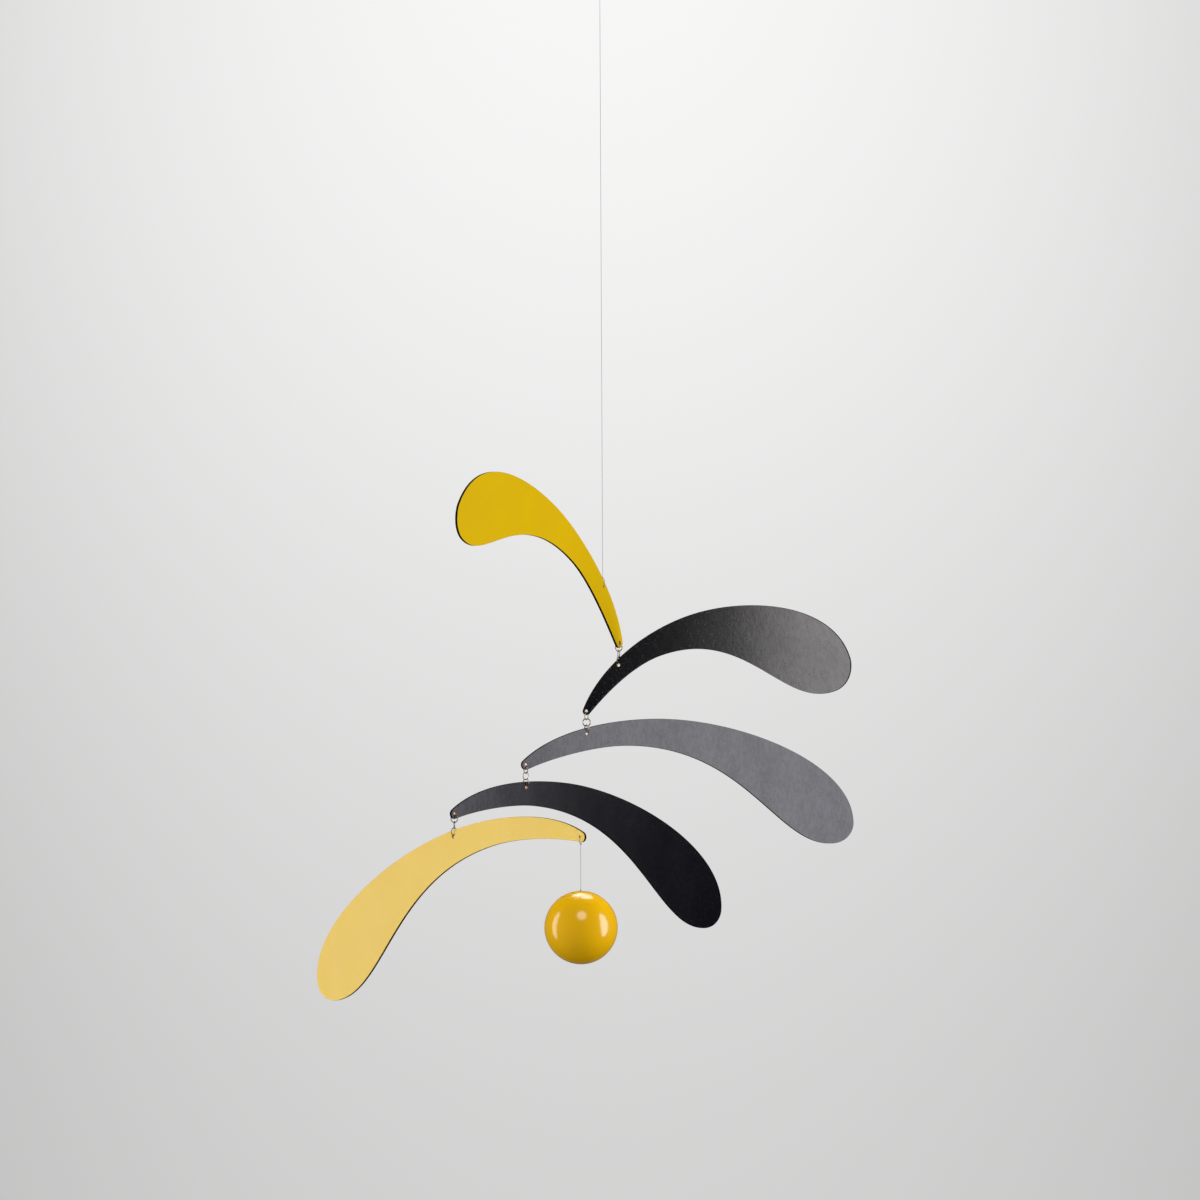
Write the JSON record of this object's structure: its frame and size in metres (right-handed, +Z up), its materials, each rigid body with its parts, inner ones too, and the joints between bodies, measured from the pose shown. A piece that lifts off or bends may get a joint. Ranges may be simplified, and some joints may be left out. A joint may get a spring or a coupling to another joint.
{
  "type": "hanging mobile sculpture",
  "caption": "Flat leaf-shaped plates, each hung by wire rings from the tip of the plate above, with a ball on a thread under the last one, all on one long thread.",
  "frame": {"origin": "the inside of the top of the thread's hanging loop, where a ceiling hook holds it", "axes": "+Z up along the thread, +X to the right as the picture shows it, +Y away from the viewer"},
  "size_m": [0.4574, 0.3596, 0.8515],
  "materials": {
    "yellow_lacquer": "satin lacquer",
    "black_lacquer": "satin lacquer",
    "ball_lacquer": "gloss",
    "ring_wire": "bright wire",
    "thread": "fine thread"
  },
  "bodies": {
    "hanging_loop": {"hanging_loop": "thread"},
    "first_blade": {"suspension_thread": "thread", "blade_1_yellow": "yellow_lacquer", "ring_1_top": "ring_wire"},
    "second_blade": {"ring_1_middle": "ring_wire", "ring_1_bottom": "ring_wire", "blade_2_black": "black_lacquer", "ring_2_top": "ring_wire"},
    "third_blade": {"ring_2_middle": "ring_wire", "ring_2_bottom": "ring_wire", "blade_3_black": "black_lacquer", "ring_3_top": "ring_wire"},
    "fourth_blade": {"ring_3_middle": "ring_wire", "ring_3_bottom": "ring_wire", "blade_4_black": "black_lacquer", "ring_4_top": "ring_wire"},
    "fifth_blade": {"ring_4_middle": "ring_wire", "ring_4_bottom": "ring_wire", "blade_5_yellow": "yellow_lacquer", "ball_thread": "thread", "ball": "ball_lacquer"}
  },
  "joints": [
    {"name": "thread_twist", "type": "hinge", "parent": "hanging_loop", "child": "first_blade", "pos_m": [0, 0, 0], "axis": [0, 0, 1], "continuous": true},
    {"name": "first_turn", "type": "hinge", "parent": "first_blade", "child": "second_blade", "pos_m": [0.01313, 0.01946, -0.55842], "axis": [0, 0, 1], "range_deg": [-100, 12]},
    {"name": "second_turn", "type": "hinge", "parent": "second_blade", "child": "third_blade", "pos_m": [-0.01411, 0.03274, -0.61589], "axis": [0, 0, 1], "range_deg": [-85, 25]},
    {"name": "third_turn", "type": "hinge", "parent": "third_blade", "child": "fourth_blade", "pos_m": [-0.06491, 0.00161, -0.65967], "axis": [0, 0, 1], "range_deg": [-70, 42]},
    {"name": "fourth_turn", "type": "hinge", "parent": "fourth_blade", "child": "fifth_blade", "pos_m": [-0.12328, -0.0581, -0.69815], "axis": [0, 0, 1], "range_deg": [-80, 30]}
  ]
}
